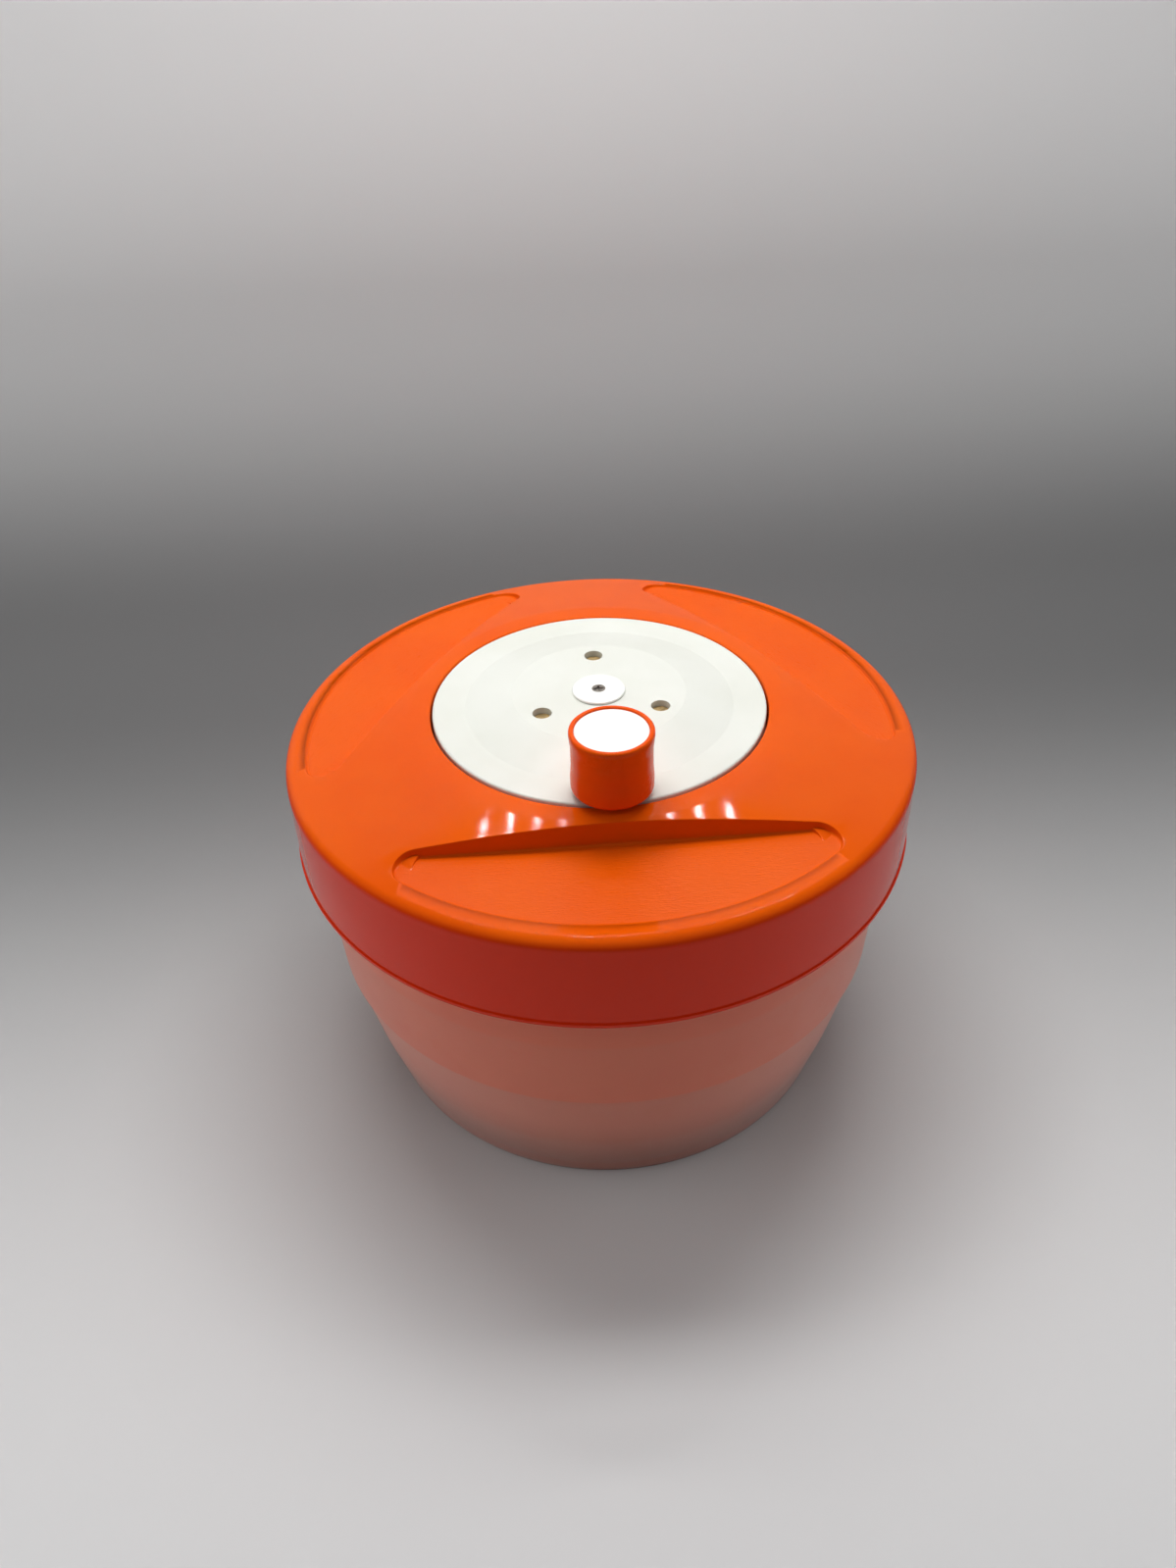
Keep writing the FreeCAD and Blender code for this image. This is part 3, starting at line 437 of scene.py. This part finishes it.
def recess_side(outline, grow, outer):
    """One long side of a recess outline moved outward by 'grow', from tip to tip, as (out, along) pairs.
    The inner side is a straight line and the outer side a circle on the lid's axis; a quarter-round
    corner of the outline's corner radius runs from each end of it to the tip."""
    corner = outline["corner"]
    ahead = outline["chord"] + corner
    reach = outline["arc"] - corner
    tilt = math.acos(ahead / reach)
    centre = np.array([ahead, reach * math.sin(tilt)])
    sweep = np.linspace(tilt if outer else math.pi, tilt + math.pi / 2, CORNER_STEPS)
    right = centre + (corner + grow) * np.stack([np.cos(sweep), np.sin(sweep)], axis=1)
    if outer:
        spread = np.linspace(-tilt, tilt, SIDE_STEPS)[1:-1]
        middle = (outline["arc"] + grow) * np.stack([np.cos(spread), np.sin(spread)], axis=1)
    else:
        along = np.linspace(-centre[1], centre[1], SIDE_STEPS)[1:-1]
        middle = np.stack([np.full_like(along, outline["chord"] - grow), along], axis=1)
    left = right[::-1] * (1, -1)
    return np.concatenate([left, middle, right])


def turned_to(pairs, angle):
    """(out, along) pairs as x and y, with 'out' pointing at the angle."""
    out, along = pairs[..., 0], pairs[..., 1]
    x = out * math.cos(angle) - along * math.sin(angle)
    y = out * math.sin(angle) + along * math.cos(angle)
    return np.stack([x, y], -1)


def split_ring(outline, grow, outer):
    """Closed ring round the lid that follows one side of each recess, and a circle through the tips
    between them."""
    side = recess_side(outline, grow, outer)
    tip = side[-1]
    tip_angle, tip_r = math.atan2(tip[1], tip[0]), np.hypot(*tip)
    between = np.linspace(tip_angle, TAU / 3 - tip_angle, GAP_STEPS + 2)[1:-1]
    gap = tip_r * np.stack([np.cos(between), np.sin(between)], axis=1)
    third = np.concatenate([side, gap])
    return np.concatenate([turned_to(third, a) for a in RECESS_TURNS])


def spoke_angles(outline, grow, outer):
    """Angle of every column where the lid is plain round: its own angle beside the recess, drawn in a
    little toward the ends of the straight side, then evenly spaced from one recess round to the next."""
    side = recess_side(outline, grow, outer)[CORNER_STEPS - 1:1 - CORNER_STEPS]
    own = np.arctan2(side[:, 1], side[:, 0])
    if not outer:
        own = own * (1 - 0.09 * (own / own[-1]) ** 2)
    fill = np.linspace(own[-1], TAU / 3 + own[0], 2 * CORNER_STEPS + GAP_STEPS)[1:-1]
    split = CORNER_STEPS + GAP_STEPS - 1
    third = np.concatenate([fill[split:] - TAU / 3, own, fill[:split]])
    return np.concatenate([third + a for a in RECESS_TURNS])


def ring_rows(path, angles):
    """Level circles at each (r, z) of the path, with points at the given angles."""
    r, z = path[:, 0][:, None], path[:, 1][:, None]
    return np.stack([r * np.cos(angles), r * np.sin(angles), z + 0 * angles], axis=-1)


def between_rings(start, end, height, rows):
    """Rows of points going straight from one ring to another in plan, lifted to height(radius)."""
    k = np.linspace(0, 1, rows)[:, None, None]
    plan = start[None] * (1 - k) + end[None] * k
    return np.concatenate([plan, height(np.hypot(plan[..., 0], plan[..., 1]))[..., None]], axis=-1)


def recess_patch(shape, outline, height, floor, lip, foot, angle, finish):
    """Rounded lip, near-upright wall, rounded foot and flat floor of one recess. Each row is the outline
    moved inward; a row's height goes from the lid's own height at that point down to the floor."""
    sides = [recess_side(outline, lip, outer) for outer in (False, True)]
    tops = [height(np.hypot(s[:, 0], s[:, 1])) for s in sides]
    arc = np.linspace(0, math.pi / 2, 6)
    draft = 0.25
    floors = []
    for outer, top in zip((False, True), tops):
        depth = np.abs(top - floor)
        way = np.sign(floor - top)
        drop, rise = np.minimum(lip, 0.4 * depth), np.minimum(foot, 0.5 * depth)
        rows = []
        for a in arc:
            plan = recess_side(outline, lip * (1 - math.sin(a)), outer)
            rows.append((plan, top + way * drop * (1 - math.cos(a))))
        for a in arc:
            plan = recess_side(outline, -draft - foot * (1 - math.cos(a)), outer)
            rows.append((plan, floor - way * rise * (1 - math.sin(a))))
        grid = np.stack([np.concatenate([turned_to(p, angle), z[:, None]], axis=1) for p, z in rows])
        shape.add(grid)
        floors.append(rows[-1][0])
    k = np.linspace(0, 1, 12)[:, None, None]
    flat = floors[0][None] * (1 - k) + floors[1][None] * k
    level = np.full(flat.shape[:2] + (1,), floor)
    plane = np.concatenate([turned_to(flat, angle), level], axis=-1)
    shape.add(plane, finish=finish, flat_map=flat[..., ::-1])


def make_lid():
    """Lid shell: ledge and well, cone, rim, skirt and underside as rings round the axis, split round the
    three recesses; the underside has the recesses' pans."""
    lip, foot = 0.35, 1.0
    top_in, top_out = (split_ring(RECESS, lip, outer) for outer in (False, True))
    low_in, low_out = (split_ring(PAN, lip, outer) for outer in (False, True))
    angles = {"top_in": spoke_angles(RECESS, lip, False), "top_out": spoke_angles(RECESS, lip, True),
              "low_in": spoke_angles(PAN, lip, False), "low_out": spoke_angles(PAN, lip, True)}

    def under(r):
        return lid_height(r) - WALL * 1.02

    well = rounded_path([
        (HUB_BORE_R, WELL_FLOOR - 3, 0), (HUB_BORE_R, WELL_FLOOR, 0.4), (LEDGE_IN, WELL_FLOOR, 1.5),
        (LEDGE_IN, LID_TOP, 0.9), (LEDGE_OUT, LID_TOP, 0),
    ], closed=False)
    rim = rounded_path([
        (RIM_R - 8, float(lid_height(RIM_R - 8)), 0), (RIM_R, RIM_Z, RIM_ROUND),
        (LIP_R - 0.6, SKIRT_LOW + 2.4, 0.3), (LIP_R, SKIRT_LOW + 1.8, 0.3), (LIP_R, SKIRT_LOW, 0.7),
        (LIP_R - WALL, SKIRT_LOW, 0.5), (RIM_R - WALL, SEAT_Z, 1.0), (SEAT_R, SEAT_Z, 0.4),
        (SEAT_R, SEAT_STEP_Z, 0.6), (SEAT_STEP_R, SEAT_STEP_Z, 0.6),
        (SEAT_STEP_R, float(under(SEAT_STEP_R)), 0),
    ], steps=12, closed=False)
    hub = rounded_path([
        (LEDGE_OUT, LID_TOP - WALL, 0), (LEDGE_IN + WALL, LID_TOP - WALL, 0.6),
        (LEDGE_IN + WALL, WELL_FLOOR - WALL, 1.5), (HUB_R, WELL_FLOOR - WALL, 0.8), (HUB_R, HUB_LOW, 0.5),
        (HUB_BORE_R, HUB_LOW, 0.3), (HUB_BORE_R, WELL_FLOOR - 3, 0),
    ], closed=False)
    shape = Shape()

    def circle(radius, ring_name):
        return radius * np.stack([np.cos(angles[ring_name]), np.sin(angles[ring_name])], axis=1)

    shape.add(ring_rows(well, angles["top_in"]), close_columns=True)
    shape.add(between_rings(circle(LEDGE_OUT, "top_in"), top_in, lid_height, 9), close_columns=True)
    shape.add(between_rings(top_out, circle(RIM_R - 8, "top_out"), lid_height, 3), close_columns=True)
    outer_rows = ring_rows(rim[:-12], angles["top_out"])
    inner_rows = ring_rows(rim[-12:], angles["low_out"])
    shape.add(np.concatenate([outer_rows, inner_rows]), close_columns=True)
    shape.add(between_rings(circle(SEAT_STEP_R, "low_out"), low_out, under, 2), close_columns=True)
    shape.add(between_rings(low_in, circle(LEDGE_OUT, "low_in"), under, 9), close_columns=True)
    hub_rows = ring_rows(hub, angles["low_in"])
    hub_rows[-1] = ring_rows(hub[-1:], angles["top_in"])[0]
    shape.add(hub_rows, close_columns=True)
    for angle in RECESS_TURNS:
        recess_patch(shape, RECESS, lid_height, RECESS_FLOOR, lip, foot, angle, 1)
        recess_patch(shape, PAN, under, SEAT_Z, lip, foot, angle, 0)
    return shape.build("lid_shell", [lid_orange, lid_grip], mapped=True)


lid = make_lid()
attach(lid, "lid")
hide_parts("lid")


def make_lid_bosses():
    """Three bosses under the well for the ring gear's screws: turned solids a third of a turn apart."""
    boss_r, boss_at, boss_top = 3.7, 51.8, WELL_FLOOR - WALL + 0.3
    outline = rounded_path([
        (0.0, HUB_LOW, 0), (boss_r, HUB_LOW, 0.3), (boss_r, boss_top, 0), (0.0, boss_top, 0),
    ])
    shape = Shape()
    for turn in (0.0, TAU / 3, 2 * TAU / 3):
        centre = (boss_at * math.cos(turn), boss_at * math.sin(turn))
        shape.add(swept_round(outline, 48, centre), True, True)
    return shape.build("lid_bosses", [lid_orange])


bosses = make_lid_bosses()
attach(bosses, "lid")


# ------------------------------------------------------------------ bowl
def make_bowl():
    """Bowl wall, floor, foot ring and rim bead, turned from one rounded outline."""
    wall, floor = 2.2, 4.5
    return turned([
        (0.0, 2.0, 0), (95.5, 2.0, 0.8), (95.5, 0.0, 0.8), (100.0, 0.0, 1.2), (101.0, 3.0, 2.0),
        (107.4, 28.0, 90.0), (114.3, 63.2, 0.5), (115.3, 64.0, 0.6), (119.2, 146.5, 0.6),
        (BEAD_R, 148.0, 0.8), (BEAD_R, BOWL_TOP, 1.0), (117.4, BOWL_TOP, 0.8), (117.0, 146.0, 2.0),
        (113.1, 65.8, 2.0), (112.1, 64.2, 2.0), (105.2, 28.5, 90.0), (99.2, floor, 7.0),
        (9.0, floor, 1.0), (8.0, 12.0, 0.8), (3.0, 12.0, 0.3), (3.0, 6.0, 0.0), (0.0, 6.0, 0),
    ], columns=288, steps=9)


bowl = make_bowl().build("bowl_shell", [bowl_frost])
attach(bowl, "bowl")
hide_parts("bowl")


# ------------------------------------------------------------------ knob
def make_knob():
    """Sleeve: full at the top, slightly waisted, swelling again above a well-rounded foot."""
    return turned([
        (4.05, KNOB_LOW, 0.3), (7.0, KNOB_LOW, 0.4), (7.0, KNOB_LOW + 12, 0.8), (12.4, KNOB_LOW + 12, 0.8),
        (12.4, KNOB_LOW + 6, 1.5), (10.4, KNOB_LOW, 0.3), (KNOB_R - 0.1, KNOB_LOW, 4.2),
        (KNOB_R - 0.1, KNOB_LOW + 5.5, 8.0), (KNOB_R - 0.5, KNOB_LOW + 10.5, 14.0),
        (KNOB_R - 0.5, KNOB_TOP - 6.5, 12.0), (KNOB_R, KNOB_TOP - 2.0, 3.0), (KNOB_R - 0.1, KNOB_TOP, 0.9),
        (KNOB_CAP_R, KNOB_TOP, 0.5), (KNOB_CAP_R, KNOB_CAP_LOW, 0.2), (9.0, KNOB_CAP_LOW, 0.3),
        (9.0, KNOB_CAP_LOW - 5.2, 0.5), (4.05, KNOB_CAP_LOW - 5.2, 0.3),
    ], columns=128, centre=(0, KNOB_Y), steps=8)


def make_knob_cap():
    """Cap: a very slightly hollow disc with a soft edge."""
    return turned([
        (0.0, KNOB_CAP_LOW, 0), (KNOB_CAP_R, KNOB_CAP_LOW, 0.3), (KNOB_CAP_R, KNOB_CAP_TOP, 0.5),
        (KNOB_CAP_R - 2.2, KNOB_CAP_TOP - 0.05, 2.0), (0.0, KNOB_CAP_TOP - 0.25, 0),
    ], columns=128, centre=(0, KNOB_Y))


knob = make_knob().build("knob_sleeve_turned", [knob_orange])
knob_cap = make_knob_cap().build("knob_cap_turned", [cap_white])
for piece, cad_node, slot_name in (
    (knob, "knob_sleeve", "orange_knob"),
    (knob_cap, "knob_cap", "white_plastic"),
):
    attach(piece, "knob")
    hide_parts(cad_node)


# ------------------------------------------------------------------ CAD nodes that stay
NODE_FINISH = {
    "crank_disc": disc_white, "centre_cap": cap_white, "driver_plate": cap_white, "basket_bush": cap_white,
    "knob_washer": cap_white, "basket": basket_orange, "ring_gear": gear_white, "sun_gear": gear_white,
    "planet_gear_1": gear_white, "planet_gear_2": gear_white, "planet_gear_3": gear_white,
    "planet_pin_1": brass, "planet_pin_2": brass, "planet_pin_3": brass,
    "pivot_pin": steel, "ring_gear_screws": steel, "thrust_washer": steel, "centre_screw": steel,
    "driver_washer": steel, "driver_screw": steel, "knob_post": steel, "knob_screw": steel,
}
for name, material in NODE_FINISH.items():
    for material_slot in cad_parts[name].material_slots:
        material_slot.material = material


# ------------------------------------------------------------------ floor, light and camera
def make_backdrop():
    """Pale sheet that lies flat and curves up behind: a profile carried sideways."""
    bend, back, top, half = 0.24, 0.09, 1.2, 1.6
    turn = np.linspace(0, math.pi / 2, 24)
    flat = np.stack([np.linspace(-2.0, back, 12), np.zeros(12)], axis=1)
    curve = np.stack([back + bend * np.sin(turn), bend * (1 - np.cos(turn))], axis=1)
    wall = np.stack([np.full(8, back + bend), np.linspace(bend, top, 8)], axis=1)
    path = np.concatenate([flat, curve[1:], wall[1:]])
    across = np.linspace(-half, half, 13)
    y, z = path[:, 0][:, None], path[:, 1][:, None]
    grid = np.stack([across + 0 * y, y + 0 * across, z + 0 * across], axis=-1) / MM
    sheet = Shape().add(grid).build("backdrop", [backdrop_grey])


def backdrop_finish():
    """Matt grey paper with painted shade, darker through its bend."""
    material = bpy.data.materials.new("backdrop_paper")
    material.use_nodes = True
    tree = material.node_tree
    shader = tree.nodes["Principled BSDF"]
    place = node(tree, "ShaderNodeSeparateXYZ", {0: node(tree, "ShaderNodeTexCoord").outputs["Object"]})
    along = math_node(tree, "ADD", place.outputs[1], place.outputs[2])
    fall = ramp(tree, along, -0.26, 0.26, 0.0, 1.0)
    rise = ramp(tree, along, 0.33, 0.68, 0.0, 1.0)
    # painted shade: darkest through the bend, paler on the flat and high on the wall
    painted_bend_shade = math_node(tree, "SUBTRACT", fall, rise)
    shade = node(tree, "ShaderNodeMix", {
        "Factor": painted_bend_shade, 6: (0.80, 0.80, 0.80, 1), 7: (0.17, 0.17, 0.17, 1),
    }, data_type="RGBA")
    tree.links.new(shade.outputs[2], shader.inputs["Base Color"])
    shader.inputs["Roughness"].default_value = 0.9
    return material


backdrop_grey = backdrop_finish()
make_backdrop()


def area_light(name, place, target, size, power, glossy=True):
    """White rectangular lamp facing its target; without glossy it leaves no reflection."""
    light = bpy.data.lights.new(name, "AREA")
    light.shape = "RECTANGLE"
    light.size, light.size_y = size
    light.energy = power
    lamp = bpy.data.objects.new(name, light)
    bpy.context.scene.collection.objects.link(lamp)
    lamp.location = place
    lamp.rotation_euler = (Vector(target) - Vector(place)).to_track_quat("-Z", "Y").to_euler()
    lamp.visible_glossy = glossy


area_light("overhead_soft", (0.0, 0.13, 0.82), (0, 0.02, 0.1), (0.6, 0.14), 3.35, glossy=False)
area_light("front_soft", (0.0, -0.45, 0.95), (0, -0.40, 0.0), (0.7, 0.35), 1.1, glossy=False)
area_light("left_fill", (-0.75, -0.05, 0.35), (0, 0, 0.12), (0.5, 0.5), 1.5, glossy=False)
area_light("right_fill", (0.75, -0.05, 0.35), (0, 0, 0.12), (0.5, 0.5), 1.0, glossy=False)
for k in range(11):
    # a bowed row of small lamps high up behind, a little wider apart to the right
    x = -0.267 + 0.0494 * k + 0.00052 * k * k
    y = 0.262 + 0.9 * (x - 0.06) ** 2
    area_light("strip_%02d" % (k + 1), (x, y, 0.80), (x * 0.5, 0.0, 0.16), (0.006, 0.040), 0.10)

world = bpy.data.worlds.new("room")
bpy.context.scene.world = world
world.use_nodes = True
world.node_tree.nodes["Background"].inputs["Color"].default_value = (0.80, 0.82, 0.86, 1)
world.node_tree.nodes["Background"].inputs["Strength"].default_value = 0.08

RIM_PLANE = 0.153
CAMERA_TURN = math.radians(-4.0)
CAMERA_BACK, CAMERA_UP = 0.38768, 0.27057
YAW, PITCH, ROLL = -0.013791, 0.657043, -0.031909


def make_camera():
    """Camera at its distance behind and above the rim plane, looking down by the pitch, rolled a little,
    then carried round the spinner's axis."""
    forward = Vector((math.sin(YAW) * math.cos(PITCH), math.cos(YAW) * math.cos(PITCH), -math.sin(PITCH)))
    right = Vector((math.cos(YAW), -math.sin(YAW), 0))
    up = right.cross(forward)
    right_rolled = math.cos(ROLL) * right + math.sin(ROLL) * up
    up_rolled = math.cos(ROLL) * up - math.sin(ROLL) * right
    turn = Matrix((right_rolled, up_rolled, -forward)).transposed().to_4x4()
    place = Matrix.Translation((0, -CAMERA_BACK, RIM_PLANE + CAMERA_UP))
    camera = bpy.data.cameras.new("camera")
    camera.sensor_width = 36.0
    camera.lens = 27.03
    camera.clip_start = 0.01
    item = bpy.data.objects.new("camera", camera)
    bpy.context.scene.collection.objects.link(item)
    item.matrix_world = Matrix.Rotation(CAMERA_TURN, 4, "Z") @ place @ turn
    bpy.context.scene.camera = item


make_camera()
bpy.context.scene.view_settings.view_transform = "Standard"
